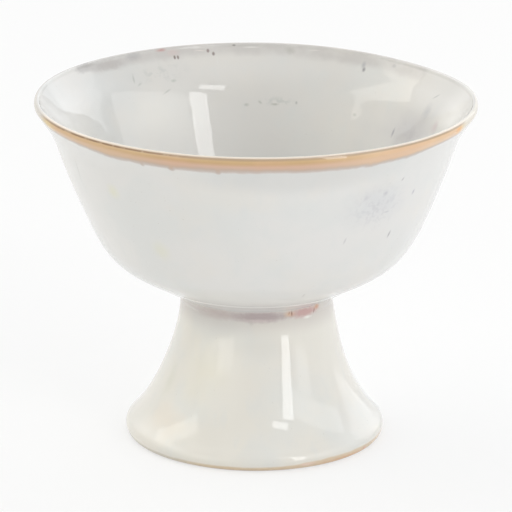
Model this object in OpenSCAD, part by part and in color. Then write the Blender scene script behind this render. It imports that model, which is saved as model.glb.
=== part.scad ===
// Footed compote bowl: a round bowl luted onto a hollow flared pedestal, both thrown in stoneware
// and covered with separate coats of glaze. The axis is Z, and the foot ring stands on z = 0.
// Each piece is one outline turned about the axis. A clay outline is drawn so that its open side
// is on the right of its direction, and every coat of glaze is raised from the same points.

/* [Bowl] */
// Outer diameter of the finished lip
rim_d = 160; // [148:1:180]
// Height of the clay bowl from its trimmed base to the crest of its lip
bowl_h = 71.6; // [62:0.1:90]
// Thickness of the clay wall
wall_t = 4.2; // [3:0.1:6]
// Thickness of the clay at the lip
lip_t = 2.6; // [2:0.1:4.4]
// Thickness of the clay floor at the centre
floor_t = 6.5; // [5:0.1:9]
// Diameter of the belly, where the underside turns up into the wall
belly_d = 123; // [112:1:134]
// Height of the belly above the trimmed base
belly_h = 29.2; // [25:0.2:36]
// Rise of the underside from the horizontal, in degrees
underside_rise = 30; // [22:1:36]
// Lean of the wall from the vertical at the belly, in degrees
wall_lean = 23.5; // [14:0.5:32]
// Lean of the flared lip from the vertical, in degrees
lip_flare = 34; // [25:1:50]
// How far the trimmed base stands out past the neck
base_overhang = 1.5; // [1.2:0.1:3]
// Radius that softens the edge of the trimmed base
base_edge_r = 1.2; // [0.6:0.1:2]

/* [Pedestal] */
// Height of the clay pedestal
pedestal_h = 54; // [44:1:70]
// Outer diameter of the neck
neck_d = 55; // [48:1:62]
// Height of the straight collar at the top of the neck
collar_h = 3; // [2:0.2:6]
// Thickness of the clay at the neck
neck_t = 4.5; // [3.5:0.1:6]
// Largest diameter of the foot
foot_d = 94; // [86:1:110]
// Slope of the flare from the horizontal where it reaches the foot, in degrees
foot_flare = 44; // [36:1:60]
// Radius of the rounded foot edge
foot_edge_r = 3.5; // [3:0.1:4.5]
// How much of the rounded foot edge the flat ring cuts away
foot_cut = 0.4; // [0.1:0.1:1]
// Width of the flat ring that stands on the table
foot_ring_w = 5; // [3.5:0.1:7]
// Height of the upright inner side of the foot ring
foot_ring_h = 3; // [2:0.1:4]

/* [Joining slip] */
// Thickness of the slip between the bowl and the pedestal
slip_t = 0.9; // [0.5:0.1:2]
// Radius of the fillet of slip smoothed into the hollow's top corner
slip_fillet_r = 1.5; // [1.2:0.1:3]

/* [Glaze] */
// Thickness of the pale glaze
glaze_t = 0.5; // [0.3:0.05:0.8]
// Thickness of the coloured glaze on the lip
band_t = 0.5; // [0.3:0.05:0.9]
// Width of the lip band below the rounded nose of the lip, outside
band_w = 4.4; // [2:0.1:7]
// Width of the lip band below the rounded nose of the lip, inside
inner_band_w = 2.6; // [1.5:0.1:5]
// How far the pooled glaze swells past the pale glaze on the neck
pool_swell = 0.4; // [0.1:0.05:0.8]
// Height of bare clay left outside the foot, above the table
bare_h = 0.8; // [0.5:0.1:1.6]

/* [Hidden] */
$fn = 180;

// Steps along the long curves and round the small arcs
curve_steps = 22;
arc_steps = 6;

// How far each end of a long curve keeps its own direction, as shares of the curve's span
underside_pull_shares = [0.52, 0.48];
wall_pull_shares = [0.79, 0.28];
floor_pull_shares = [0.42, 0.55];
flare_pull_shares = [0.11, 0.39];
pool_pull_shares = [0.35, 0.35];

// Levels and radii that several pieces share
neck_r = neck_d / 2;
collar_z = pedestal_h - collar_h;
base_z = pedestal_h + slip_t;
floor_z = base_z + floor_t;
lip_z = base_z + bowl_h;
nose_r = lip_t / 2;
nose_centre = [rim_d / 2 - band_t - nose_r, lip_z - nose_r];
belly_mark = [belly_d / 2, base_z + belly_h];
base_edge_centre = [neck_r + base_overhang - base_edge_r * tan(underside_rise / 2), base_z + base_edge_r];
foot_edge_z = foot_edge_r - foot_cut;
foot_edge_centre = [foot_d / 2 - foot_edge_r, foot_edge_z];
ground_angle = asin(foot_edge_z / foot_edge_r);
bare_angle = asin((foot_edge_z - bare_h) / foot_edge_r);
ground_r = foot_edge_centre[0] + foot_edge_r * cos(ground_angle);

// Directions in the (radius, height) plane
function heading(a) = [cos(a), sin(a)];
function unit(v) = v / norm(v);

// Points round a small arc, and along a smooth curve from p to q that leaves p along u and
// reaches q along v. The shares say how far it holds each direction.
function arc(centre, r, from, to) =
    [for (i = [0 : arc_steps]) centre + r * heading(from + (to - from) * i / arc_steps)];
function bend(p, u, q, v, shares) =
    let (span = norm(q - p), a = p + u * span * shares[0], b = q - v * span * shares[1])
    [for (i = [1 : curve_steps - 1])
        let (t = i / curve_steps, s = 1 - t)
        s * s * s * p + 3 * s * s * t * a + 3 * s * t * t * b + t * t * t * q];

// The right-hand side of a stretch, and a whole line raised to that side by t
function side(p, q) = let (d = unit(q - p)) [d[1], -d[0]];
function raise_one(line, i, t) =
    let (end = len(line) - 1,
         m = side(line[max(i, 1) - 1], line[max(i, 1)]),
         n = side(line[min(i, end - 1)], line[min(i, end - 1) + 1]),
         p = line[i] + t * (m + n) / (1 + m * n))
    line[i][0] == 0 ? [0, p[1]] : p;
function raised(line, t) = [for (i = [0 : len(line) - 1]) raise_one(line, i, t)];
function slice(line, from, to) = [for (i = [from : to]) line[i]];
function reversed(line) = [for (i = [len(line) - 1 : -1 : 0]) line[i]];

// A coat of thickness t on the stretch of a line between two of its points
function coat(line, from, to, t) =
    concat(slice(line, from, to), reversed(slice(raised(line, t), from, to)));

// Outer side of the bowl, from the middle of its base to where the lip band starts
base_edge = arc(base_edge_centre, base_edge_r, -90, underside_rise - 90);
flare_way = heading(90 - lip_flare);
wall_way = heading(90 - wall_lean);
nose_out = nose_centre + nose_r * heading(-lip_flare);
nose_in = nose_centre + nose_r * heading(180 - lip_flare);
band_start = nose_out - band_w * flare_way;
inner_band_end = nose_in - inner_band_w * flare_way;
outside_line = concat(
    [[0, base_z]],
    base_edge,
    bend(base_edge[arc_steps], heading(underside_rise), belly_mark, wall_way, underside_pull_shares),
    [belly_mark],
    bend(belly_mark, wall_way, band_start, flare_way, wall_pull_shares),
    [band_start]);

// Over the nose of the lip, and down the inside to the middle of the floor
inner_belly = belly_mark - wall_t * side(belly_mark, belly_mark + wall_way);
bowl_line = concat(
    outside_line,
    arc(nose_centre, nose_r, -lip_flare, 90),
    slice(arc(nose_centre, nose_r, 90, 180 - lip_flare), 1, arc_steps),
    [inner_band_end],
    bend(inner_band_end, -flare_way, inner_belly, -wall_way, reversed(wall_pull_shares)),
    [inner_belly],
    bend(inner_belly, -wall_way, [0, floor_z], [-1, 0], floor_pull_shares),
    [[0, floor_z]]);
band_start_at = len(outside_line) - 1;
crest_at = band_start_at + arc_steps + 1;
inner_band_end_at = crest_at + arc_steps + 1;

// Outer side of the pedestal, from the table up to the top of the collar
bare_edge = arc(foot_edge_centre, foot_edge_r, -ground_angle, -bare_angle);
foot_edge = arc(foot_edge_centre, foot_edge_r, -bare_angle, 90 - foot_flare);
pedestal_line = concat(
    bare_edge,
    slice(foot_edge, 1, arc_steps),
    bend(foot_edge[arc_steps], heading(180 - foot_flare), [neck_r, collar_z], [0, 1],
         reversed(flare_pull_shares)),
    [[neck_r, collar_z], [neck_r, pedestal_h]]);
glaze_start_at = arc_steps;
collar_at = len(pedestal_line) - 2;

// Inner side of the pedestal, from the top of the collar down to the foot ring
hollow_r = neck_r - neck_t;
ring_inner_r = ground_r - foot_ring_w;
hollow_wall = concat(
    [[hollow_r, collar_z]],
    bend([hollow_r, collar_z], [0, -1], [ring_inner_r, foot_ring_h], heading(-foot_flare),
         flare_pull_shares),
    [[ring_inner_r, foot_ring_h]]);

// The hollow's lining, from the middle of the bowl's base over the slip to the foot ring
slip_fillet = arc([hollow_r - slip_fillet_r, base_z - slip_fillet_r], slip_fillet_r, 90, 0);
hollow_line = concat([[0, base_z]], slip_fillet, hollow_wall);

module turned(outline) { rotate_extrude() polygon(outline); }

module bowl() { color("burlywood") turned(bowl_line); }

module pedestal() {
    color("tan")
        turned(concat(pedestal_line, [[hollow_r, pedestal_h]], hollow_wall, [[ring_inner_r, 0]]));
}

// The slip fills the joint and is smoothed into the hollow's top corner
module joining_slip() {
    color("sienna")
        turned(concat([[neck_r, pedestal_h], [neck_r, base_z]], slip_fillet, [[hollow_r, pedestal_h]]));
}

module outside_glaze() { color("ivory") turned(coat(bowl_line, 1, band_start_at, glaze_t)); }

module lip_band() { color("peru") turned(coat(bowl_line, band_start_at, crest_at, band_t)); }

module inner_lip_band() {
    color("rosybrown") turned(coat(bowl_line, crest_at, inner_band_end_at, band_t));
}

module inside_glaze() {
    color("beige") turned(coat(bowl_line, inner_band_end_at, len(bowl_line) - 1, glaze_t));
}

// Glaze that ran down and pooled under the overhang of the base
module neck_glaze_pool() {
    top = raise_one(bowl_line, 1, glaze_t);
    foot = raise_one(pedestal_line, collar_at, glaze_t);
    swell = [neck_r + glaze_t + pool_swell, (top[1] + foot[1]) / 2];
    color("thistle")
        turned(concat(
            [[neck_r, collar_z], foot],
            bend(foot, [0, 1], swell, [0, 1], pool_pull_shares),
            [swell],
            bend(swell, [0, 1], top, unit(top - swell), pool_pull_shares),
            [top, base_edge[0], [neck_r, base_z]]));
}

module pedestal_glaze() {
    color("floralwhite") turned(coat(pedestal_line, glaze_start_at, collar_at, glaze_t));
}

module hollow_glaze() {
    color("linen") turned(coat(hollow_line, 0, len(hollow_line) - 1, glaze_t));
}

bowl();
pedestal();
joining_slip();
outside_glaze();
inside_glaze();
lip_band();
inner_lip_band();
neck_glaze_pool();
pedestal_glaze();
hollow_glaze();
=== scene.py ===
import math
from collections import Counter

import bpy
import numpy as np
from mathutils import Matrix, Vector, noise


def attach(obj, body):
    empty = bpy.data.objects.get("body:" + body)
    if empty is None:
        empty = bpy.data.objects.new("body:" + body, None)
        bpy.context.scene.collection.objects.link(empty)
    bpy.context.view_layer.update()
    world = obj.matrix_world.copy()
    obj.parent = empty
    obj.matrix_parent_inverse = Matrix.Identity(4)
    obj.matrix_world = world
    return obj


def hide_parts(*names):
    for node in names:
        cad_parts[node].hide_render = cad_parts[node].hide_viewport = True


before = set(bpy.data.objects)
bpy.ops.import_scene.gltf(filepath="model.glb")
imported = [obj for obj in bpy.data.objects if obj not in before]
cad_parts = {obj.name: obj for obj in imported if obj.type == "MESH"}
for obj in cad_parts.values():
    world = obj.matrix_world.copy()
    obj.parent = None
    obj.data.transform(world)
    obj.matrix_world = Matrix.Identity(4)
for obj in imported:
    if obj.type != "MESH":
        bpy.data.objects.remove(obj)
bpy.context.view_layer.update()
mm = 0.001
print("frame loaded,", len(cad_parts), "nodes")


# Shader tools

# About how far the outside is from the axis at a few heights, in mm
wallRadii = [(0, 12, 30, 46, 54, 58, 75, 90, 126), (46, 40, 32, 28.5, 28.5, 34, 56, 64, 77)]
# How rough noise is, and how its offset is shared out over X, Y and Z. How marks are ragged and mottled, and
# how far in they reach, as a share of the radius there
marking = {"roughness": 0.55, "offsetShares": (1, 0.37, 1.9), "raggedDetail": 2, "mottleLimits": (0.46, 0.62),
           "mottleDetail": 3, "mottleOffset": 7.3, "depth": 0.75}


class Wire:  # one output socket; sums on it add Math nodes
    def __init__(self, recipe, socket):
        self.recipe, self.socket = recipe, socket

    def __add__(self, other): return self.recipe.math("ADD", self, other)
    def __radd__(self, other): return self.recipe.math("ADD", other, self)
    def __sub__(self, other): return self.recipe.math("SUBTRACT", self, other)
    def __rsub__(self, other): return self.recipe.math("SUBTRACT", other, self)
    def __mul__(self, other): return self.recipe.math("MULTIPLY", self, other)


class Recipe:  # a material's or the world's node tree
    def __init__(self, owner):
        owner.use_nodes = True
        self.owner, self.tree = owner, owner.node_tree
        self.tree.nodes.clear()

    def node(self, kind, settings=None, sockets=None, out=0):
        made = self.tree.nodes.new("ShaderNode" + kind)
        for name, value in (settings or {}).items():
            if name == "stops":
                for i, (at, colour) in enumerate(value):
                    stop = made.color_ramp.elements[i] if i < 2 else made.color_ramp.elements.new(at)
                    stop.position, stop.color = at, colour
            else:
                setattr(made, name, value)
        for name, value in (sockets or {}).items():
            if isinstance(value, Wire):
                self.tree.links.new(value.socket, made.inputs[name])
            else:
                made.inputs[name].default_value = value
        return Wire(self, made.outputs[out]) if made.outputs else None

    def math(self, operation, a, b):
        return self.node("Math", {"operation": operation}, {0: a, 1: b})

    def mix(self, share, a, b):
        return self.node("Mix", {"data_type": "RGBA"}, {0: share, 6: a, 7: b}, out=2)

    def ease(self, value, low, high):  # 0 at low, 1 at high, smooth between
        return self.node("MapRange", {"interpolation_type": "SMOOTHSTEP"}, {0: value, 1: low, 2: high})

    def grain(self, place, size, detail, offset=0.0, stretch=(1, 1, 1)):
        # Noise from 0 to 1, with its size in mm
        moved = self.node("Mapping", {}, {
            0: place, "Location": tuple(share * offset for share in marking["offsetShares"]),
            "Scale": tuple(1 / (size * longer) for longer in stretch)})
        return self.node("TexNoise", {}, {
            "Vector": moved, "Scale": 1.0, "Detail": detail, "Roughness": marking["roughness"]})

    def patches(self, place, low, high, *grain):
        # 0 where that noise is under the low limit, 1 where it is over the high one
        return self.ease(self.grain(place, *grain), low, high)

    def sway(self, place, *waves):
        # Noise to both sides of 0; each wave has its whole reach, then its size, detail and offset
        parts = [(self.grain(place, *grain) - 0.5) * reach for reach, *grain in waves]
        return sum(parts[1:], parts[0])

    def place(self):  # position on the piece in mm, as it was turned, before the rim dipped
        return self.node("Attribute", {"attribute_name": "turnedPlace"}, out=1)

    def axis(self, place, name):
        return self.node("SeparateXYZ", {}, {0: place}, out="XYZ".index(name))

    def spot(self, place, azimuth, height, width, tall, lean=0.0, soft=0.0, ragged=0.0, grain=1.5):
        # 1 inside a patch of those half sizes in mm, 0 outside; the azimuth grows to the camera's right
        a = math.radians(azimuth)
        radius = np.interp(height, *wallRadii)
        local = self.node("Mapping", {"vector_type": "TEXTURE"}, {
            0: place, "Location": (radius * math.sin(a), -radius * math.cos(a), height),
            "Rotation": (0, math.radians(lean), a), "Scale": (width, marking["depth"] * radius, tall)})
        away = self.node("VectorMath", {"operation": "LENGTH"}, {0: local}, out=1)
        if ragged:
            away = away + self.sway(place, (ragged, grain, marking["raggedDetail"], azimuth))
        return self.ease(away, 1, soft)

    def marked(self, place, colour, marks, within=None):
        # Lays each mark's colour over the glaze, only where the mask allows it if there is one
        for stain in marks:
            mask = self.spot(place, *stain["at"], *stain["size"], **stain["shape"])
            if stain["mottle"]:
                mask = mask * self.patches(place, *marking["mottleLimits"], stain["mottle"],
                                           marking["mottleDetail"], marking["mottleOffset"])
            if within is not None:
                mask = mask * within
            colour = self.mix(mask * stain["share"], colour, tint(*stain["colour"]))
        return colour

    def bumped(self, height, depth):  # a normal raised by up to that depth in mm
        return self.node("Bump", {}, {"Height": height, "Distance": depth * mm, "Strength": 1.0})

    def asMaterial(self, shader):
        self.node("OutputMaterial", {}, {"Surface": shader})
        return self.owner


def mark(at, size, colour, share, mottle=None, **shape):
    # A stain in the glaze, or a patch of painted light or shade where noted: azimuth and height of its
    # middle, half sizes in mm, its colour and how much shows; mottle is the size of the patches that it
    # breaks up into.
    # Each list has the marks that the photograph shows, and then made-up ones for the sides that it doesn't
    # show
    return {"at": at, "size": size, "colour": colour, "share": share, "mottle": mottle, "shape": shape}


def tint(red, green, blue):
    # A colour as it looks on screen, 0 to 255, as the shader wants it
    shares = [c / 255 for c in (red, green, blue)]
    return tuple(c / 12.92 if c < 0.04045 else ((c + 0.055) / 1.055) ** 2.4 for c in shares) + (1.0,)


# Camera, floor, world and lamps. Places are in metres, turns in degrees, the lens and floorDrop in mm

camera = {"place": (0, -1.3, 0.47474), "pitch": 17.427, "roll": 0.357, "lens": 262.18, "shiftX": 0.0011,
          "sensor": 36, "clip": (0.05, 30)}

shot = bpy.data.cameras.new("shot")
shot.sensor_width, shot.lens, shot.shift_x = camera["sensor"], camera["lens"], camera["shiftX"]
shot.clip_start, shot.clip_end = camera["clip"]
cameraRig = bpy.data.objects.new("shot", shot)
cameraRig.location = camera["place"]
cameraRig.rotation_euler = (math.radians(90 - camera["pitch"]), 0, 0)
cameraRig.rotation_euler.rotate_axis("Z", math.radians(camera["roll"]))
bpy.context.scene.collection.objects.link(cameraRig)
bpy.context.scene.camera = cameraRig
bpy.context.scene.view_settings.view_transform = "Standard"


def toward(azimuth, elevation):
    # Direction from the object; azimuth 0 is the camera's side and grows to its right
    a, e = math.radians(azimuth), math.radians(elevation)
    return Vector((math.sin(a) * math.cos(e), -math.cos(a) * math.cos(e), math.sin(e)))


studio = {"floorSize": 8.0, "floorDrop": 0.02, "floorColour": (244, 244, 243), "shadowShare": 0.35,
          "skyLevel": 0.336, "skyColour": (251, 253, 255), "middle": (0, 0, 0.07), "lampDistance": 2.0}
# Area lamps, with their azimuth and elevation, size in metres, level, turn in degrees and colour
lamps = {
    "strip": {"way": (40, 16.6), "size": (0.39, 1.27), "level": 4.4},
    "smallLamp": {"way": (30.5, 39), "size": (0.50, 0.18), "level": 4.2, "turn": 4},
    "panelRight": {"way": (74, 26.5), "size": (2.04, 0.56), "level": 1.1},
    "panelBack": {"way": (132, 12), "size": (1.26, 1.4), "level": 0.75},
    "panelFarBack": {"way": (165, 10), "size": (1.1, 1.3), "level": 0.35},
    "panelLeft": {"way": (-91, 35), "size": (1.46, 0.46), "level": 1.5, "colour": (255, 251, 240)},
    "panelMiddle": {"way": (63, 9), "size": (0.60, 0.56), "level": 1.1},
    "panelFront": {"way": (-43, 7), "size": (0.74, 0.50), "level": 1.0},
}
# Soft patches of brighter sky, with the angle at which they fade out
softLights = {
    "left": {"way": (-75, 10), "reach": 36, "level": 0.62, "colour": (255, 250, 236)},
    "frontLeft": {"way": (-45, 10), "reach": 36, "level": 0.69, "colour": (255, 249, 234)},
    "right": {"way": (75, 10), "reach": 36, "level": 0.05, "colour": (252, 252, 255)},
    "highLeft": {"way": (-110, 42), "reach": 38, "level": 0.9, "colour": (255, 251, 241)},
    "highRight": {"way": (50, 42), "reach": 38, "level": 0.5, "colour": (255, 253, 249)},
    "backRight": {"way": (135, 42), "reach": 38, "level": 0.98, "colour": (248, 250, 255)},
    "backLeft": {"way": (-150, 42), "reach": 38, "level": 1.06, "colour": (243, 247, 255)},
    "top": {"way": (0, 75), "reach": 36, "level": 0.37, "colour": (248, 251, 255)},
}

floorMesh = bpy.data.meshes.new("floor")
half = studio["floorSize"] / 2
floorCorners = [(-half, -half, 0), (half, -half, 0), (half, half, 0), (-half, half, 0)]
floorMesh.from_pydata(floorCorners, [], [(0, 1, 2, 3)])
floor = bpy.data.objects.new("floor", floorMesh)
floor.location.z = -studio["floorDrop"] * mm
bpy.context.scene.collection.objects.link(floor)

rayOutputs = {"camera": 0, "glossy": 3, "through": 6}  # of the Light Path node


def rayIs(recipe, kind):
    return recipe.node("LightPath", out=rayOutputs[kind])


# The camera and the glaze see the paper white, apart from a share of the object's shadow
paper = Recipe(bpy.data.materials.new("whitePaper"))
paperDiffuse = paper.node("BsdfDiffuse", {}, {"Color": tint(*studio["floorColour"])})
paperWhite = paper.node("Emission", {}, {"Color": (1, 1, 1, 1), "Strength": 1.0})
seenWhite = paper.math("MAXIMUM", rayIs(paper, "camera"), rayIs(paper, "glossy"))
floor.data.materials.append(paper.asMaterial(paper.node("MixShader", {}, {
    0: seenWhite * (1 - studio["shadowShare"]), 1: paperDiffuse, 2: paperWhite})))

# The sky is white to the camera, at its full level in reflections, and dimmer where it lights the object
world = bpy.data.worlds.new("studio")
bpy.context.scene.world = world
sky = Recipe(world)
level = rayIs(sky, "glossy") * (1 - studio["skyLevel"]) + studio["skyLevel"]
glow = sky.node("Background", {}, {"Color": tint(*studio["skyColour"]), "Strength": level})
direction = sky.node("TexCoord", out=0)
for patch in softLights.values():
    facing = sky.node("VectorMath", {"operation": "DOT_PRODUCT"},
                      {0: direction, 1: toward(*patch["way"])}, out=1)
    bright = sky.ease(facing, math.cos(math.radians(patch["reach"])), 1) * patch["level"]
    patchGlow = sky.node("Background", {}, {"Color": tint(*patch["colour"]), "Strength": bright})
    glow = sky.node("AddShader", {}, {0: glow, 1: patchGlow})
white = sky.node("Background", {}, {"Color": (1, 1, 1, 1), "Strength": 1.0})
straight = sky.math("MAXIMUM", rayIs(sky, "camera"), rayIs(sky, "through"))
sky.node("OutputWorld", {}, {"Surface": sky.node("MixShader", {}, {0: straight, 1: glow, 2: white})})

for name, lamp in lamps.items():
    light = bpy.data.lights.new(name, "AREA")
    width, height = lamp["size"]
    light.shape, light.size, light.size_y = "RECTANGLE", width, height
    light.energy = lamp["level"] * math.pi * width * height
    light.color = tint(*lamp.get("colour", (255, 255, 255)))[:3]
    rig = bpy.data.objects.new(name, light)
    way = toward(*lamp["way"])
    rig.location = Vector(studio["middle"]) + way * studio["lampDistance"]
    rig.rotation_euler = way.to_track_quat("Z", "Y").to_euler()
    rig.rotation_euler.rotate_axis("Z", math.radians(lamp.get("turn", 0)))
    rig.visible_camera = False
    bpy.context.scene.collection.objects.link(rig)
print("camera, floor,", len(lamps), "lamps and", len(softLights), "soft lights placed")


# Tools for turned pieces

# Points closer than sameRing are one ring, and a link rarer than weakLink's share isn't followed; corner and
# bendStep are in degrees
turning = {"sameRing": 0.02 * mm, "digits": 6, "weakLink": 0.2, "corner": 35, "bendStep": 9,
           "wornSteps": (0, 0.25, 0.5, 0.75, 1)}
clayNodes = ["bowl", "pedestal", "joining_slip"]


def traceOutline(node):
    # Each ring of vertices on a turned node is one point (radius, height) of its outline
    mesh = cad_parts[node].data
    rings, ringOf, known = [], [], {}
    for vertex in mesh.vertices:
        point = (math.hypot(vertex.co.x, vertex.co.y), vertex.co.z)
        key = tuple(round(measure, turning["digits"]) for measure in point)
        if key not in known:
            near = [i for i, ring in enumerate(rings) if math.dist(ring, point) < turning["sameRing"]]
            known[key] = near[0] if near else len(rings)
            if not near:
                rings.append(point)
        ringOf.append(known[key])
    links = Counter()
    for edge in mesh.edges:
        a, b = (ringOf[i] for i in edge.vertices)
        if a != b:
            links[a, b] += 1
            links[b, a] += 1
    beside = {}
    for i in range(len(rings)):
        found = sorted(((n, b) for (a, b), n in links.items() if a == i), reverse=True)[:2]
        beside[i] = [b for n, b in found if n > found[0][0] * turning["weakLink"]]
    ends = [i for i in beside if len(beside[i]) == 1]
    walk = [ends[0] if ends else 0]
    while onward := [j for j in beside[walk[-1]] if j not in walk]:
        walk.append(onward[0])
    points = [rings[i] for i in walk]
    if ends:  # the outline runs from the axis to the axis
        between = [p for p in points if p[0] > turning["sameRing"]]
        points = [(0.0, points[0][1])] + between + [(0.0, points[-1][1])]
    spots = [np.array(p) for p in points]
    if sum(a[0] * b[1] - b[0] * a[1] for a, b in zip(spots, spots[1:] + spots[:1])) < 0:
        spots.reverse()
    return spots, not ends


outlines = {node: traceOutline(node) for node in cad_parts}


def sharedWith(point, nodes):
    return any(math.dist(point, p) < turning["sameRing"] for node in nodes for p in outlines[node][0])


def angleOf(u, v):
    return math.degrees(math.acos(max(-1, min(1, u @ v / np.linalg.norm(u) / np.linalg.norm(v)))))


def findCorners(spots, closed):
    inner = range(len(spots)) if closed else range(1, len(spots) - 1)
    corners = [False] * len(spots)
    for i in inner:
        before, after = spots[i] - spots[i - 1], spots[(i + 1) % len(spots)] - spots[i]
        corners[i] = angleOf(before, after) > turning["corner"]
    return corners


def wearOff(spots, bare, loose, reach):
    # Rounds the loose corners off, as far as that reach to each side
    worn = []
    for i, spot in enumerate(spots):
        if not loose[i]:
            worn.append((spot, bare[i]))
            continue
        before, after = spots[i - 1] - spot, spots[(i + 1) % len(spots)] - spot
        a = spot + before * reach / np.linalg.norm(before)
        b = spot + after * reach / np.linalg.norm(after)
        worn += [(a * (1 - t) ** 2 + spot * 2 * t * (1 - t) + b * t * t, 1.0) for t in turning["wornSteps"]]
    return [p for p, _ in worn], [share for _, share in worn]


def waysThrough(corners, closed, lengths, ways):
    # The ways in which the line arrives at each spot and leaves it
    count = len(corners)
    arrive, leave = {}, {}
    for i in range(count):
        if not closed and i in (0, count - 1):  # level where it crosses the axis
            arrive[i] = leave[i] = np.array([1.0 if i == 0 else -1.0, 0.0])
        elif not corners[i]:
            a, b = lengths[i - 1], lengths[i]
            arrive[i] = leave[i] = (ways[i - 1] * a + ways[i] * b) / (a + b)
    for i in range(count):
        if corners[i]:
            onward, back = (i + 1) % count, i - 1
            leave[i] = ways[i] if corners[onward] else 2 * ways[i] - arrive[onward]
            arrive[i] = ways[back] if corners[back] else 2 * ways[back] - leave[back % count]
    return arrive, leave


def smoothOutline(piece):
    # A smooth line through the traced points, sharp at corners: point, outward side, bareness, corner. Its
    # spans are cut up by step where the piece is bare, and by hiddenStep where it lies on another
    spots, closed = outlines[piece["node"]]
    rest = [n for n in outlines if n != piece["node"]]
    touching = rest if piece["node"] in clayNodes else clayNodes
    bare = [0.0 if sharedWith(p, touching) else 1.0 for p in spots]
    corners = findCorners(spots, closed)
    if "worn" in piece:
        loose = [corner and not sharedWith(p, rest) for p, corner in zip(spots, corners)]
        spots, bare = wearOff(spots, bare, loose, piece["worn"])
        corners = findCorners(spots, closed)
    count = len(spots)
    spans = range(count if closed else count - 1)
    chords = [spots[(i + 1) % count] - spots[i] for i in spans]
    lengths = [float(np.linalg.norm(chord)) for chord in chords]
    ways = [chord / length for chord, length in zip(chords, lengths)]
    arrive, leave = waysThrough(corners, closed, lengths, ways)

    line = []
    for i in spans:
        k = (i + 1) % count
        p, q, length, u, v = spots[i], spots[k], lengths[i], leave[i], arrive[k]
        step = piece["step"] if bare[i] + bare[k] > 0 else piece["hiddenStep"]
        parts = max(1, math.ceil(length / step), math.ceil(angleOf(u, v) / turning["bendStep"]))
        for j in range(parts):
            t = j / parts
            at = ((2 * t**3 - 3 * t**2 + 1) * p + (t**3 - 2 * t**2 + t) * length * u
                  + (3 * t**2 - 2 * t**3) * q + (t**3 - t**2) * length * v)
            way = (6 * t**2 - 6 * t) * (p - q) / length + (3 * t**2 - 4 * t + 1) * u + (3 * t**2 - 2 * t) * v
            if j == 0 and corners[i]:  # a corner moves with its barer side
                before, after = bare[i - 1] + bare[i], bare[i] + bare[k]
                way = arrive[i] * (before >= after) + leave[i] * (after >= before)
            side = np.array([way[1], -way[0]]) / np.linalg.norm(way)
            line.append((at, side, bare[i] * (1 - t) + bare[k] * t, j == 0 and corners[i]))
    if not closed:
        line.append((spots[-1], np.array([0.0, 1.0]), bare[-1], False))
    return line, closed


def ripple(spots, grain, seed):
    # Smooth noise from -1 to 1 at each spot; grain is its size in metres
    return np.array([noise.noise(Vector((x / grain, y / grain, z / grain + seed))) for x, y, z in spots])


def bump(value, middle, width):
    # 1 at the middle, fading to both sides
    return np.exp(-(((value - middle) / width) ** 2))


def easeIn(value, low, high):
    t = np.clip((value - low) / (high - low), 0, 1)
    return t**2 * (3 - 2 * t)


def degreesFrom(azimuth, middle):
    return (azimuth - middle + 180) % 360 - 180


# The hand that threw it, in mm: the lip is thinned from inside between two heights, the pot is set aside
# round a height and over a width, and the rim dips round an azimuth and over a width in degrees. The wall's
# outer side is taken from wallFrom up, with its coat, and inside innermost the thinning fades to the axis
thrown = {"thinned": [(0.8, 112, 122), (0.7, 62, 126)], "wallThickness": 3.6, "wallFrom": 57, "coat": 0.5,
          "innermost": 20, "aside": [(0.7, 43, 14), (0.35, 82, 14), (-0.15, 122, 10)],
          "dips": [(0.5, 0, 72), (1.1, 128, 28), (0.2, -138, 22)], "dipFrom": 100, "dipTo": 124,
          "taller": 1.001}

bowlLine = outlines["bowl"][0]
crestAt = max(range(len(bowlLine)), key=lambda i: bowlLine[i][1])
outerSide = max((bowlLine[:crestAt + 1], bowlLine[crestAt:][::-1]),
                key=lambda side: sum(p[0] for p in side) / len(side))
outerSide = [p / mm for p in outerSide if p[1] > thrown["wallFrom"] * mm]
outerReach = np.maximum.accumulate([p[0] + thrown["coat"] for p in outerSide])  # widest up over the nose


def throwByHand(spots):
    x, y, z = spots.T / mm
    outer = np.interp(z, [p[1] for p in outerSide], outerReach)
    inward = np.clip((outer - np.hypot(x, y)) / thrown["wallThickness"], 0, 1)  # 0 outside, 1 inside
    thinner = inward * sum(size * easeIn(z, low, high) for size, low, high in thrown["thinned"])
    wider = 1 + thinner / np.hypot(x, y).clip(thrown["innermost"])
    aside = sum(size * bump(z, middle, width) for size, middle, width in thrown["aside"])
    rise = easeIn(z, thrown["dipFrom"], thrown["dipTo"])
    azimuth = np.degrees(np.arctan2(x, -y))
    dip = sum(size * bump(degreesFrom(azimuth, at), 0, width) * rise for size, at, width in thrown["dips"])
    return np.stack([x * wider + aside, y * wider, z * thrown["taller"] - dip], axis=1) * mm


def ringed(radius, height, azimuth):
    # Points at those radii and heights; azimuth 0 is on the camera's side
    return np.stack([radius * np.sin(azimuth), -radius * np.cos(azimuth), height], axis=1)


def facesBetween(rows, number, closed):
    # Quads from each ring of vertices to the next, and triangles to a vertex on the axis
    faces, segments = [], len(rows[0])
    for i in range(len(rows) if closed else len(rows) - 1):
        low, high = (number[rows[at % len(rows)]].tolist() for at in (i, i + 1))
        for j in range(segments):
            k = (j + 1) % segments
            if not closed and i == 0:
                faces.append((low[0], high[k], high[j]))
            elif not closed and i == len(rows) - 2:
                faces.append((low[j], low[k], high[0]))
            else:
                faces.append((low[j], low[k], high[k], high[j]))
    return faces


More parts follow.
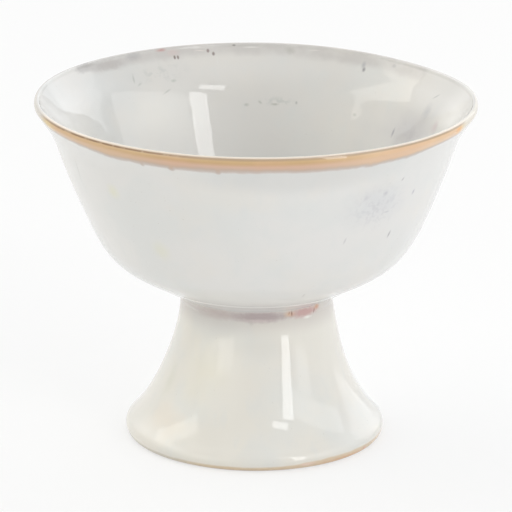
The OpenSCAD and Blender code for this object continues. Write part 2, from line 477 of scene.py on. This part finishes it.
def turnPiece(name, piece, material):
    # Turns the smoothed outline about the axis, waves its bare side a little, and replaces its node
    line, closed = smoothOutline(piece)
    points, sides, bare, corner = (np.array(column) for column in zip(*line))
    segments = piece["segments"]
    angles = np.arange(segments) * 2 * math.pi / segments
    radius, height, sideOut, sideUp = (np.repeat(column, segments) for column in (*points.T, *sides.T))
    azimuth = np.tile(angles, len(line))
    shift = np.zeros(len(azimuth))
    if "waves" in piece:
        shift = piece["waves"](radius, height, azimuth, ringed(radius, height, azimuth))
        shift = shift * np.repeat(bare, segments)
    turned = ringed(radius + sideOut * shift, height + sideUp * shift, azimuth)
    spots = throwByHand(turned)

    rows = [np.arange(segments) + i * segments for i in range(len(line))]
    keep = np.ones(len(spots), bool)
    if not closed:  # one vertex on the axis at each end
        keep[rows[0][1:]] = keep[rows[-1][1:]] = False
    mesh = bpy.data.meshes.new(name)
    mesh.from_pydata(spots[keep].tolist(), [], facesBetween(rows, np.cumsum(keep) - 1, closed))
    mesh.shade_smooth()
    rowOf = np.repeat(np.arange(len(line)), segments)[keep]
    ends = np.zeros(len(mesh.edges) * 2, int)
    mesh.edges.foreach_get("vertices", ends)
    a, b = rowOf[ends[0::2]], rowOf[ends[1::2]]
    sharp = (a == b) & corner[a]
    mesh.attributes.new("sharp_edge", "BOOLEAN", "EDGE").data.foreach_set("value", sharp)
    place = mesh.attributes.new("turnedPlace", "FLOAT_VECTOR", "POINT")
    place.data.foreach_set("vector", (turned[keep] / mm).ravel())
    mesh.materials.append(material)
    made = bpy.data.objects.new(name, mesh)
    bpy.context.scene.collection.objects.link(made)
    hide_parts(piece["node"])
    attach(made, "root")
    print(name, "turned,", len(mesh.polygons), "faces")


# Glaze, as on every coat. Here and below, noise is written as its two limits if it makes patches, or its
# reach if it sways, and then its size in mm, detail, offset and stretch. Waves are depth, size and seed

glaze = {"pale": (224, 223, 221), "cool": (216, 219, 218), "warm": (228, 223, 215), "speck": (188, 182, 174),
         "clouds": (26, 3), "cloudLimits": (0.42, 0.66), "cloudShare": 0.45,
         "drifts": (0.5, 0.72, 31, 3, 5.1), "warmth": 0.35,
         "runs": (0.55, 0.8, 5, 2, 2.2, (1, 1, 7)), "runShare": 0.25,
         "specks": (0.74, 0.8, 0.7, 1, 9.4), "speckedClouds": (0.4, 0.6), "speckShare": 0.5,
         "rough": 0.02, "rougher": 0.04, "satin": (0.4, 0.7, 17, 2, 4.4), "ior": 1.5,
         "skin": (2.6, 2, 1.3), "skinDepth": 0.006, "waves": [(0.05, 24, 3.1), (0.012, 7, 8.7)]}


def glazeWaves(spots):
    return sum(ripple(spots, size * mm, seed) * depth for depth, size, seed in glaze["waves"]) * mm


def paleGlaze(recipe, place, pale=glaze["pale"], warmth=glaze["warmth"]):
    # The pale glaze's clouds, faint runs down the wall, and a few specks
    clouds = recipe.grain(place, *glaze["clouds"])
    cloudy = recipe.ease(clouds, *glaze["cloudLimits"])
    colour = recipe.mix(cloudy * glaze["cloudShare"], tint(*pale), tint(*glaze["cool"]))
    drifts = recipe.patches(place, *glaze["drifts"])
    colour = recipe.mix(drifts * warmth, colour, tint(*glaze["warm"]))
    runs = recipe.patches(place, *glaze["runs"])
    colour = recipe.mix(runs * glaze["runShare"], colour, tint(*glaze["cool"]))
    specks = recipe.patches(place, *glaze["specks"]) * recipe.ease(clouds, *glaze["speckedClouds"])
    return recipe.mix(specks * glaze["speckShare"], colour, tint(*glaze["speck"]))


def glazeFinish(name, colourOf, rough=None):
    # A glassy skin with a faint orange peel, over the colour that the function given lays down
    recipe = Recipe(bpy.data.materials.new(name))
    place = recipe.place()
    colour = colourOf(recipe, place)
    if rough is None:
        satin = recipe.patches(place, *glaze["satin"])
        rough = glaze["rough"] + satin * (glaze["rougher"] - glaze["rough"])
    skin = recipe.bumped(recipe.grain(place, *glaze["skin"]), glaze["skinDepth"])
    return recipe.asMaterial(recipe.node("BsdfPrincipled", {}, {
        "Base Color": colour, "Roughness": rough, "IOR": glaze["ior"], "Normal": skin}))


# Stoneware, which shows only round the foot ring

stoneware = {"colour": (201, 176, 152), "light": (222, 204, 184), "clouds": (6, 3), "dark": (166, 138, 116),
             "grog": (0.55, 2, 3.3), "grogLimits": (0.56, 0.68), "grogShare": 0.7, "grogDepth": 0.03,
             "rough": 0.82, "grogRougher": 0.1}


def stonewareFinish(name):
    # Matt clay with lighter clouds and dark gritty grog
    recipe = Recipe(bpy.data.materials.new(name))
    place = recipe.place()
    clouds = recipe.grain(place, *stoneware["clouds"])
    body = recipe.mix(clouds, tint(*stoneware["colour"]), tint(*stoneware["light"]))
    grog = recipe.grain(place, *stoneware["grog"])
    dark = recipe.ease(grog, *stoneware["grogLimits"]) * stoneware["grogShare"]
    body = recipe.mix(dark, body, tint(*stoneware["dark"]))
    rough = stoneware["rough"] + grog * stoneware["grogRougher"]
    grit = recipe.bumped(grog, stoneware["grogDepth"])
    return recipe.asMaterial(recipe.node("BsdfPrincipled", {}, {
        "Base Color": body, "Roughness": rough, "Normal": grit}))


clayFinish = stonewareFinish("stoneware")
bowlBody = {"node": "bowl", "slot": "stoneware", "segments": 256, "step": 2 * mm, "hiddenStep": 3 * mm}
turnPiece("stonewareBowl", bowlBody, clayFinish)

pedestalBody = {"node": "pedestal", "slot": "stoneware", "segments": 384, "step": 0.4 * mm,
                "hiddenStep": 3 * mm, "worn": 0.3 * mm, "uneven": 0.03 * mm, "unevenSize": 3 * mm,
                "unevenSeed": 1.7, "unevenFrom": 0.6 * mm}


def ringWaves(radius, height, azimuth, spots):
    # The foot ring is uneven at its sides and flat where it stands
    uneven = pedestalBody["uneven"] * ripple(spots, pedestalBody["unevenSize"], pedestalBody["unevenSeed"])
    return uneven * easeIn(height, 0, pedestalBody["unevenFrom"])


pedestalBody["waves"] = ringWaves
turnPiece("stonewarePedestal", pedestalBody, clayFinish)

slip = {"node": "joining_slip", "slot": "slip", "segments": 256, "step": 1 * mm, "hiddenStep": 1 * mm}
turnPiece("joiningSlip", slip, stonewareFinish("slip"))


# Outside of the bowl, up over the lip

outside = {
    "node": "outside_glaze", "slot": "outside_glaze", "segments": 448, "step": 0.7 * mm, "hiddenStep": 3 * mm,
    # The line left by trimming, with a low shoulder inside it
    "trim": {"radius": 38.6, "width": 0.55, "depth": 0.13, "from": 55.2, "to": 64},
    "shoulder": {"depth": 0.10, "from": 30, "rise": 2, "fall": 1.2},
    # The roll along the lower edge of the lip band, and its drips: azimuth, width in degrees and size
    "roll": {"height": 121, "width": 1, "depth": 0.05, "mean": 0.6, "uneven": 0.8, "size": 9, "seed": 5.5},
    "drips": [(-30.2, 1.0, 0.7), (-21.9, 1.4, 0.9), (-9.5, 1.1, 0.7), (-52, 2.6, 0.5), (31, 3.0, 0.5),
              (150, 2.2, 0.8), (-128, 1.8, 0.7), (88, 2.0, 0.6), (-171, 2.4, 0.7)],
    "drip": {"depth": 0.22, "height": 120.6, "tall": 1.3},
    "dripStain": {"height": 120.4, "tall": 2.2, "wider": 1.3, "soft": 0.1},
    "nose": {"radius": 78.2, "height": 125.2, "round": 1.8}, "ends": (48, 76),
    # The band's colours by the climb in mm, the top ones a cream crest of pale glaze with a painted
    # highlight, how its lower edge wavers and where, and its lighter core
    "band": [(-5.2, (214, 212, 208)), (-4.6, (207, 200, 194)), (-3.9, (196, 182, 174)),
             (-3.1, (195, 173, 158)), (-2.4, (205, 175, 156)), (-1.7, (210, 176, 153)),
             (-1.1, (206, 171, 138)), (-0.4, (201, 167, 123)), (0.3, (205, 174, 129)),
             (0.8, (188, 160, 128)), (1.4, (184, 162, 138)), (1.7, (228, 214, 198)),
             (2.2, (236, 225, 210)), (2.9, (226, 222, 212))],
    "edgeWaver": [(1.7, 15, 3, 6.6), (0.8, 3.2, 2, 2.9)], "edgeLimits": (-0.6, -3.6), "narrower": 0.9,
    "bandFade": 0.9, "coreLow": (-4.2, -2.4), "coreHigh": (1.0, 0.5),
    "peach": {"across": (14, 52), "share": 0.85, "colour": (229, 196, 161)},
    "tan": {"across": (-22, -55), "share": 0.65, "colour": (215, 182, 143)},
    "rose": {"patches": (0.45, 0.65, 19, 2, 3.8), "share": 0.3, "colour": (216, 174, 142)},
    "coreMarks": [
        mark((-70, 124), (13, 9), (224, 206, 150), 0.6, soft=0.3),
        mark((68, 124), (8, 9), (224, 206, 150), 0.6, soft=0.3),
        mark((63.5, 124), (4, 5), (238, 176, 106), 0.6, soft=0.2),
    ],
    "endMarks": [
        mark((-93, 124), (36, 9), (209, 204, 196), 0.9, soft=0.75),
        mark((88, 124), (34, 9), (222, 217, 205), 0.9, soft=0.78),
    ],
    "line": mark((-42, 126.1), (48, 0.42), (130, 96, 60), 0.75, soft=0.3),
    "lineBreaks": (0.3, 0.5, 4, 2, 8.1), "blushLimits": (126.1, 126.6),
    "marks": [
        mark((10, 118), (46, 9), (206, 206, 204), 0.5, soft=0.3),
        mark((-45, 105.5), (4.5, 4), (223, 222, 199), 0.6, ragged=0.5, grain=4),
        mark((-32.5, 84.6), (5, 6), (222, 221, 200), 0.45, ragged=0.5, grain=4),
        mark((37, 103), (17, 13), (209, 210, 214), 0.5, ragged=0.7, grain=9),
        mark((38, 102), (17, 12), (188, 187, 191), 0.3, mottle=2.2),
        mark((52, 104.2), (0.9, 1.6), (182, 180, 190), 0.8, lean=14),
        mark((45, 111.3), (0.6, 1.3), (176, 172, 174), 0.7, lean=38),
        mark((39.5, 107), (1.5, 1.2), (196, 195, 200), 0.8, ragged=0.5),
        mark((32.6, 106.7), (1.2, 1.6), (200, 199, 203), 0.6, lean=12),
        mark((42, 99), (2.2, 0.5), (190, 189, 194), 0.6),
        mark((46.8, 88.8), (0.7, 2.2), (168, 165, 168), 0.85, lean=10),
        mark((28.6, 90), (0.6, 2.0), (190, 188, 190), 0.6, lean=14),
        mark((19.3, 67.3), (0.6, 1.5), (190, 186, 184), 0.5, lean=8),
        mark((-61, 109), (0.5, 6.5), (196, 194, 190), 0.5, lean=8, ragged=0.4),
        # Painted shade: a dark spot in the corner under the bowl, on the left, where it meets the neck
        mark((-46, 56.2), (2.4, 1.6), (170, 166, 166), 0.7),
        mark((165, 96), (18, 14), (210, 211, 213), 0.5, ragged=0.7, grain=9),
        mark((163, 97), (15, 11), (186, 187, 194), 0.4, mottle=2.2),
        mark((-118, 88), (12, 16), (223, 221, 201), 0.5, ragged=0.7, grain=9),
        mark((-150, 108), (0.7, 2.4), (176, 172, 172), 0.7, lean=-9),
        mark((112, 79), (0.7, 1.8), (182, 178, 180), 0.7, lean=12),
    ]}


def outsideWaves(radius, height, azimuth, spots):
    # The glaze's own waves, the line and shoulder left by trimming, and the roll and drips below the band
    trim, shoulder, roll, drip = (outside[name] for name in ("trim", "shoulder", "roll", "drip"))
    r, z = radius / mm, height / mm
    under = (z < trim["to"]) * (z > trim["from"])
    shift = glazeWaves(spots) - trim["depth"] * mm * bump(r, trim["radius"], trim["width"]) * under
    inner = np.clip((trim["radius"] - r) / shoulder["fall"], 0, 1)
    inner = inner * np.clip((r - shoulder["from"]) / shoulder["rise"], 0, 1)
    shift = shift + shoulder["depth"] * mm * inner * under
    uneven = roll["mean"] + roll["uneven"] * ripple(spots, roll["size"] * mm, roll["seed"])
    shift = shift + roll["depth"] * mm * bump(z, roll["height"], roll["width"]) * uneven
    for at, width, size in outside["drips"]:
        around = bump(degreesFrom(np.degrees(azimuth), at), 0, width)
        shift = shift + drip["depth"] * mm * size * around * bump(z, drip["height"], drip["tall"])
    return shift


def lipClimb(recipe, place):
    # How far up the outer side of the lip, in mm along it from the widest level of its nose
    nose = outside["nose"]
    across = recipe.node("VectorMath", {"operation": "MULTIPLY"}, {0: place, 1: (1, 1, 0)})
    radius = recipe.node("VectorMath", {"operation": "LENGTH"}, {0: across}, out=1)
    above = recipe.axis(place, "Z") - nose["height"]
    turn = recipe.math("ARCTAN2", above, radius - nose["radius"])
    return recipe.math("MAXIMUM", turn, 0.0) * nose["round"] + recipe.math("MINIMUM", above, 0.0)


def lipEnds(recipe, place):
    # 1 toward the left and right ends of the lip, as the camera sees it
    return recipe.ease(recipe.math("ABSOLUTE", recipe.axis(place, "X"), 0.0), *outside["ends"])


def bandClimb(recipe, place):
    # The climb with the band's lower edge made uneven, pulled down at the drips and raised at both ends
    climb = lipClimb(recipe, place)
    climb = climb + recipe.sway(place, *outside["edgeWaver"]) * recipe.ease(climb, *outside["edgeLimits"])
    stain = outside["dripStain"]
    for at, width, size in outside["drips"]:
        shape = (at, stain["height"], width * stain["wider"], stain["tall"])
        climb = climb + recipe.spot(place, *shape, soft=stain["soft"]) * size
    narrower = 1 + lipEnds(recipe, place) * outside["narrower"]
    return recipe.math("MAXIMUM", climb, 0.0) + recipe.math("MINIMUM", climb, 0.0) * narrower


blush = {"colour": (198, 194, 191), "waver": [(2.6, 13, 3, 6.1), (1.4, 4, 2, 2.3)], "backFrom": 43.2,
         "backTo": 45.6, "backWaver": (4, 12, 2, 1.7), "towardRight": 0.015, "share": 0.68,
         "patches": (0.3, 0.6, 9, 3, 3.4), "patchShare": 0.3}


def greyBlush(recipe, place, colour, limits):
    # The grey-mauve blush round the back of the lip between those heights, lower down on the right
    x, y, z = (recipe.axis(place, name) for name in "XYZ")
    drop = recipe.math("MAXIMUM", x, 0.0) * blush["towardRight"]
    tall = recipe.ease(z + recipe.sway(place, *blush["waver"]) + drop, *limits)
    back = recipe.ease(y + recipe.sway(place, blush["backWaver"]), blush["backFrom"], blush["backTo"])
    patchy = recipe.patches(place, *blush["patches"]) * blush["patchShare"]
    return recipe.mix(tall * back * (patchy + (blush["share"] - blush["patchShare"])), colour,
                      tint(*blush["colour"]))


def outsideColour(recipe, place):
    # The pale glaze, the lip band with its core, its ends and its crest's painted highlight, the dark line on
    # the crest, and the blush
    colour = recipe.marked(place, paleGlaze(recipe, place), outside["marks"])
    climb = bandClimb(recipe, place)
    low, high = outside["band"][0][0], outside["band"][-1][0]
    stops = [((at - low) / (high - low), tint(*c)) for at, c in outside["band"]]
    band = recipe.node("ValToRGB", {"stops": stops}, {0: (climb - low) * (1 / (high - low))})
    core = recipe.ease(climb, *outside["coreLow"]) * recipe.ease(climb, *outside["coreHigh"])
    x = recipe.axis(place, "X")
    for side in (outside["peach"], outside["tan"]):
        band = recipe.mix(recipe.ease(x, *side["across"]) * core * side["share"], band, tint(*side["colour"]))
    rose = outside["rose"]
    rosy = recipe.patches(place, *rose["patches"]) * core * rose["share"]
    band = recipe.mix(rosy, band, tint(*rose["colour"]))
    band = recipe.marked(place, band, outside["coreMarks"], core)
    band = recipe.marked(place, band, outside["endMarks"])
    colour = recipe.mix(recipe.ease(climb, low, low + outside["bandFade"]), colour, band)
    broken = recipe.patches(place, *outside["lineBreaks"])
    colour = recipe.marked(place, colour, [outside["line"]], broken)
    return greyBlush(recipe, place, colour, outside["blushLimits"])


outside["waves"] = outsideWaves
turnPiece("outsideGlaze", outside, glazeFinish("outsideGlaze", outsideColour))

lip = {"node": "lip_band", "slot": "lip_band", "segments": 640, "step": 0.35 * mm, "hiddenStep": 1 * mm,
       "waves": outsideWaves}
turnPiece("lipBand", lip, glazeFinish("lipBand", outsideColour))


# Inside of the bowl

inside = {
    "node": "inside_glaze", "slot": "inside_glaze", "segments": 448, "step": 0.8 * mm, "hiddenStep": 3 * mm,
    "pale": (222, 220, 216), "blushLimits": (121.9, 124.6),
    "rings": {"depth": 0.012, "apart": 7.5, "below": 120},
    # The crest is lighter in the middle than at its ends, from a painted highlight on its pale glaze, and the
    # glaze pools in the bottom of the bowl
    "crestClimb": (3.6, 2.9), "crestHeight": (126.2, 126.7), "crest": (238, 229, 214), "crestHighlightShare": 0.8,
    "crestEnds": (203, 198, 191), "crestEndsShare": 0.7,
    "deepLimits": (74, 62), "deep": (208, 213, 203), "deepShare": 0.5,
    "marks": [
        # The first three marks are painted light: paler patches standing in for light and reflections at the
        # left and right of the wall
        mark((-101, 112), (30, 15), (240, 239, 235), 0.5, ragged=0.3, grain=12),
        mark((-146, 106), (28, 15), (240, 239, 234), 0.5, ragged=0.3, grain=12),
        mark((98, 119), (20, 14), (243, 241, 237), 0.95, ragged=0.3, grain=12),
        mark((-124, 125.8), (6, 2.2), (178, 175, 173), 0.7, soft=0.3, ragged=0.4),
        mark((-134, 124.5), (9, 2.4), (186, 181, 177), 0.6, soft=0.3, ragged=0.6),
        mark((-129, 125.2), (8, 2.0), (188, 185, 182), 0.5, soft=0.3),
        mark((-143.5, 125.6), (5, 2.0), (184, 182, 182), 0.7, soft=0.2, ragged=0.5),
        mark((-152.5, 126.3), (3.2, 0.8), (196, 148, 144), 0.85, ragged=0.4),
        mark((-155.8, 125.0), (4.0, 2.0), (214, 196, 192), 0.5, soft=0.1),
        mark((-156.1, 123.4), (0.62, 0.9), (132, 118, 112), 0.85, soft=0.4),
        mark((-157.1, 123.3), (0.62, 0.9), (136, 122, 116), 0.8, soft=0.4),
        mark((-173.7, 126.2), (0.9, 0.5), (150, 146, 142), 0.8, soft=0.3),
        mark((-166.2, 124.7), (0.8, 0.9), (150, 134, 130), 0.85, soft=0.3),
        mark((-167.7, 123.6), (0.8, 0.9), (140, 126, 122), 0.85, soft=0.3),
        mark((-168.6, 121.2), (0.5, 2.6), (226, 224, 220), 0.7),
        mark((-164, 124.9), (3.0, 0.35), (232, 226, 220), 0.8, lean=-6),
        mark((-178.5, 125.5), (4.6, 0.35), (236, 234, 230), 0.8),
        mark((170.5, 124.8), (3.2, 1.8), (184, 183, 176), 0.6, ragged=0.5),
        mark((163.5, 125.4), (3.2, 0.35), (226, 222, 218), 0.7, lean=5),
        mark((-140.8, 118.4), (0.7, 2.4), (188, 190, 184), 0.7, lean=-14, ragged=0.6),
        mark((-142.2, 116.3), (1.8, 0.6), (190, 192, 186), 0.6, lean=20),
        mark((-154, 115.8), (1.7, 0.8), (188, 192, 184), 0.75, ragged=0.5),
        mark((-150.8, 112.4), (3.0, 0.5), (190, 192, 184), 0.6, lean=22, ragged=0.5),
        mark((-150, 119), (16, 4), (196, 198, 194), 0.5, mottle=3.0),
        mark((-176.7, 105.9), (1.4, 0.9), (184, 186, 178), 0.65, ragged=0.4, soft=0.1),
        mark((178.8, 106.8), (1.3, 0.7), (184, 186, 178), 0.7, lean=-35),
        mark((174, 106.2), (2.2, 0.6), (184, 184, 174), 0.75, ragged=0.5),
        mark((166.9, 107.1), (0.7, 0.9), (172, 174, 170), 0.75),
        mark((173, 107.2), (9, 2.4), (190, 194, 190), 0.5, mottle=1.8),
        mark((147.7, 122.9), (1.3, 1.8), (176, 176, 178), 0.75, soft=0.1),
        mark((147.2, 121.4), (1.0, 1.2), (138, 136, 140), 0.85, soft=0.1),
        mark((137.9, 124.7), (1.4, 0.9), (184, 182, 182), 0.7, soft=0.2),
        mark((146, 105.4), (1.3, 1.0), (186, 188, 180), 0.6, ragged=0.5),
        mark((115.3, 119.7), (2.6, 0.5), (192, 192, 188), 0.8, lean=36, soft=0.2),
        mark((115.6, 113.9), (3.4, 4.2), (190, 190, 192), 0.6, ragged=0.8, grain=3),
        mark((117, 105), (27, 13), (200, 198, 201), 0.6, ragged=0.8, grain=11),
        mark((120, 103), (12, 8), (192, 188, 192), 0.35, mottle=4.5),
        mark((106.8, 110.6), (3.6, 3.6), (212, 196, 198), 0.6, ragged=0.6, grain=3),
        mark((128.2, 102.6), (0.8, 2.6), (158, 154, 164), 0.75, lean=-6),
        mark((20, 96), (20, 14), (206, 204, 206), 0.45, ragged=0.8, grain=9),
        mark((-60, 88), (16, 12), (204, 203, 204), 0.45, ragged=0.8, grain=9),
        mark((64, 112), (0.7, 2.2), (160, 156, 160), 0.7, lean=12),
    ]}


def insideWaves(radius, height, azimuth, spots):
    # The glaze's own waves, and the rings that fingers left in the clay
    z, rings = height / mm, inside["rings"]
    grooves = rings["depth"] * np.sin(z * 2 * math.pi / rings["apart"] + azimuth) * (z < rings["below"])
    return glazeWaves(spots) + grooves * mm


def insideColour(recipe, place):
    # The pale glaze, the crest of the lip with its painted highlight, the blush, the marks, the first three
    # of them painted light, and the pool at the bottom
    colour = paleGlaze(recipe, place, inside["pale"])
    crest = recipe.ease(lipClimb(recipe, place), *inside["crestClimb"])
    crest = crest * recipe.ease(recipe.axis(place, "Z"), *inside["crestHeight"])
    ends = lipEnds(recipe, place)
    # Painted highlight: the crest is cream in the middle of the lip
    colour = recipe.mix(crest * inside["crestHighlightShare"] * (1 - ends), colour, tint(*inside["crest"]))
    colour = recipe.mix(crest * inside["crestEndsShare"] * ends, colour, tint(*inside["crestEnds"]))
    colour = greyBlush(recipe, place, colour, inside["blushLimits"])
    colour = recipe.marked(place, colour, inside["marks"])
    deep = recipe.ease(recipe.axis(place, "Z"), *inside["deepLimits"])
    return recipe.mix(deep * inside["deepShare"], colour, tint(*inside["deep"]))


inside["waves"] = insideWaves
turnPiece("insideGlaze", inside, glazeFinish("insideGlaze", insideColour))

innerLip = {"node": "inner_lip_band", "slot": "inner_lip_band", "segments": 640, "step": 0.35 * mm,
            "hiddenStep": 1 * mm, "waves": insideWaves}
turnPiece("innerLipBand", innerLip, glazeFinish("innerLipBand", insideColour))


# The neck and the pedestal

neck = {
    "node": "neck_glaze_pool", "slot": "neck_glaze_pool", "segments": 448, "step": 0.25 * mm,
    "hiddenStep": 1 * mm, "paintedShade": (188, 178, 176), "paintedShadeLimits": (43.5, 51.5), "paintedShadeShare": 0.4,
    "lumps": {"depth": 0.12, "size": 7, "seed": 4.2, "height": 52.6, "width": 0.8, "from": 51, "to": 54.3,
              "fade": 0.6},
    "marks": [
        # The mauve marks under the bowl's ledge, here and at the back, are pooled glaze darkened with painted
        # shade
        mark((-40, 52.2), (11, 3.2), (190, 180, 176), 0.6, ragged=0.4),
        mark((-26, 52.6), (11, 3.2), (190, 178, 175), 0.85, ragged=0.5),
        mark((3, 52.4), (15, 3.0), (176, 163, 163), 0.95, ragged=0.4, soft=0.3),
        mark((2, 50.9), (9, 1.1), (208, 196, 194), 0.6, ragged=0.6),
        mark((-4, 50.2), (1.4, 1.6), (186, 178, 175), 0.5, ragged=0.4),
        mark((38, 52.6), (9, 2.8), (199, 162, 158), 0.9, ragged=0.5, soft=0.25),
        mark((25, 52.8), (3.2, 1.8), (216, 182, 150), 0.7, ragged=0.5),
        mark((50, 53.4), (2.2, 1.7), (208, 160, 128), 0.8, ragged=0.5),
        mark((26.7, 53.0), (0.55, 1.6), (140, 100, 92), 0.85, lean=-6),
        mark((24.6, 53.2), (0.4, 1.0), (160, 116, 100), 0.7, lean=8),
        mark((47.3, 52.2), (0.4, 1.6), (132, 84, 80), 0.85),
        mark((41, 50.4), (3.0, 0.9), (238, 238, 232), 0.8, ragged=0.4),
        mark((150, 52.6), (12, 2.2), (196, 182, 178), 0.85, ragged=0.6, soft=0.4),
        mark((-146, 52.4), (12, 2.4), (188, 176, 173), 0.9, ragged=0.6, soft=0.4),
        mark((-112, 52.8), (7, 1.6), (208, 172, 160), 0.7, ragged=0.6, soft=0.4),
    ]}


def neckWaves(radius, height, azimuth, spots):
    # The glaze's own waves, and the lumps of the pool
    z, lumps = height / mm, neck["lumps"]
    swell = bump(z, lumps["height"], lumps["width"]) * np.clip((z - lumps["from"]) / lumps["fade"], 0, 1)
    swell = swell * np.clip((lumps["to"] - z) / lumps["fade"], 0, 1)
    return glazeWaves(spots) + lumps["depth"] * mm * swell * ripple(spots, lumps["size"] * mm, lumps["seed"])


foot = {
    "node": "pedestal_glaze", "slot": "pedestal_glaze", "segments": 448, "step": 0.6 * mm,
    "hiddenStep": 3 * mm, "worn": 0.25 * mm, "pale": (227, 224, 216), "warmth": 0.4,
    # The glaze thins over the foot's edge, to brown and higher up on the right, to grey on the left, where
    # the grey is partly painted shadow
    "thin": (216, 194, 165), "thinAndShadowLeft": (203, 197, 184), "thinLimits": (2.4, 1.5), "thinShare": 0.9,
    "thinWaver": (1.0, 9, 3, 4.7), "thinRight": 0.95, "rightLimits": (5, 30), "leftLimits": (-12, -35),
    "marks": [
        mark((-52, 12), (14, 7), (229, 218, 203), 0.5, ragged=0.7, grain=8),
        mark((-35, 30), (12, 16), (226, 222, 204), 0.4, ragged=0.7, grain=9),
        mark((5, 42), (16, 8), (217, 215, 209), 0.7, ragged=0.6, grain=9),
        # Painted shade: a darker greenish stripe on the left of the flare
        mark((-63, 24), (4, 9), (214, 214, 200), 0.4, ragged=0.6, grain=4),
        mark((58, 1.6), (1.4, 0.9), (214, 150, 140), 0.8),
        mark((62, 1.4), (1.4, 0.8), (196, 190, 120), 0.7),
        mark((24, 2.0), (4.5, 1.0), (232, 208, 200), 0.7, ragged=0.4),
        mark((46, 1.3), (20, 0.9), (219, 168, 128), 0.6, ragged=0.4, grain=3),
        mark((160, 22), (12, 12), (217, 215, 209), 0.6, ragged=0.7, grain=9),
        mark((-140, 14), (15, 8), (229, 218, 203), 0.5, ragged=0.7, grain=8),
    ]}


def pedestalColour(recipe, place):
    # The pale glaze with painted shade up the neck, thin at the foot, with the marks of both
    colour = paleGlaze(recipe, place, foot["pale"], foot["warmth"])
    x, z = recipe.axis(place, "X"), recipe.axis(place, "Z")
    # Painted shade: darker up the neck, toward the bowl's underside
    paintedShade = recipe.ease(z, *neck["paintedShadeLimits"]) * neck["paintedShadeShare"]
    colour = recipe.mix(paintedShade, colour, tint(*neck["paintedShade"]))
    lift = recipe.ease(x, *foot["rightLimits"]) * foot["thinRight"]
    thin = recipe.ease(z + recipe.sway(place, foot["thinWaver"]) - lift, *foot["thinLimits"])
    # On the left the thin edge's grey is partly painted shadow
    edge = recipe.mix(recipe.ease(x, *foot["leftLimits"]), tint(*foot["thin"]), tint(*foot["thinAndShadowLeft"]))
    colour = recipe.mix(thin * foot["thinShare"], colour, edge)
    return recipe.marked(place, colour, foot["marks"] + neck["marks"])


neck["waves"] = neckWaves
turnPiece("neckGlazePool", neck, glazeFinish("neckGlazePool", pedestalColour))
foot["waves"] = lambda radius, height, azimuth, spots: glazeWaves(spots)
turnPiece("pedestalGlaze", foot, glazeFinish("pedestalGlaze", pedestalColour))


# The hollow under the bowl

hollow = {"node": "hollow_glaze", "slot": "hollow_glaze", "segments": 320, "step": 0.9 * mm,
          "hiddenStep": 3 * mm, "worn": 0.25 * mm, "rough": 0.24, "pale": (219, 211, 196), "warmth": 0.7,
          "through": (196, 168, 140), "runs": (0.5, 0.7, 8, 3, 7.9, (1, 1, 3)), "runShare": 0.45,
          "edgeLimits": (9, 2.5), "edgeWaver": (6, 7, 3, 1.1), "edgeShare": 0.5, "moreWaves": 1.6}
hollow["waves"] = lambda radius, height, azimuth, spots: hollow["moreWaves"] * glazeWaves(spots)


def hollowColour(recipe, place):
    # A thinner, hastier coat: the clay shows through in runs and near its edge
    colour = paleGlaze(recipe, place, hollow["pale"], hollow["warmth"])
    runs = recipe.patches(place, *hollow["runs"])
    edge = recipe.axis(place, "Z") + recipe.sway(place, hollow["edgeWaver"])
    edge = recipe.ease(edge, *hollow["edgeLimits"])
    through = runs * hollow["runShare"] + edge * hollow["edgeShare"]
    return recipe.mix(through, colour, tint(*hollow["through"]))


turnPiece("hollowGlaze", hollow, glazeFinish("hollowGlaze", hollowColour, hollow["rough"]))
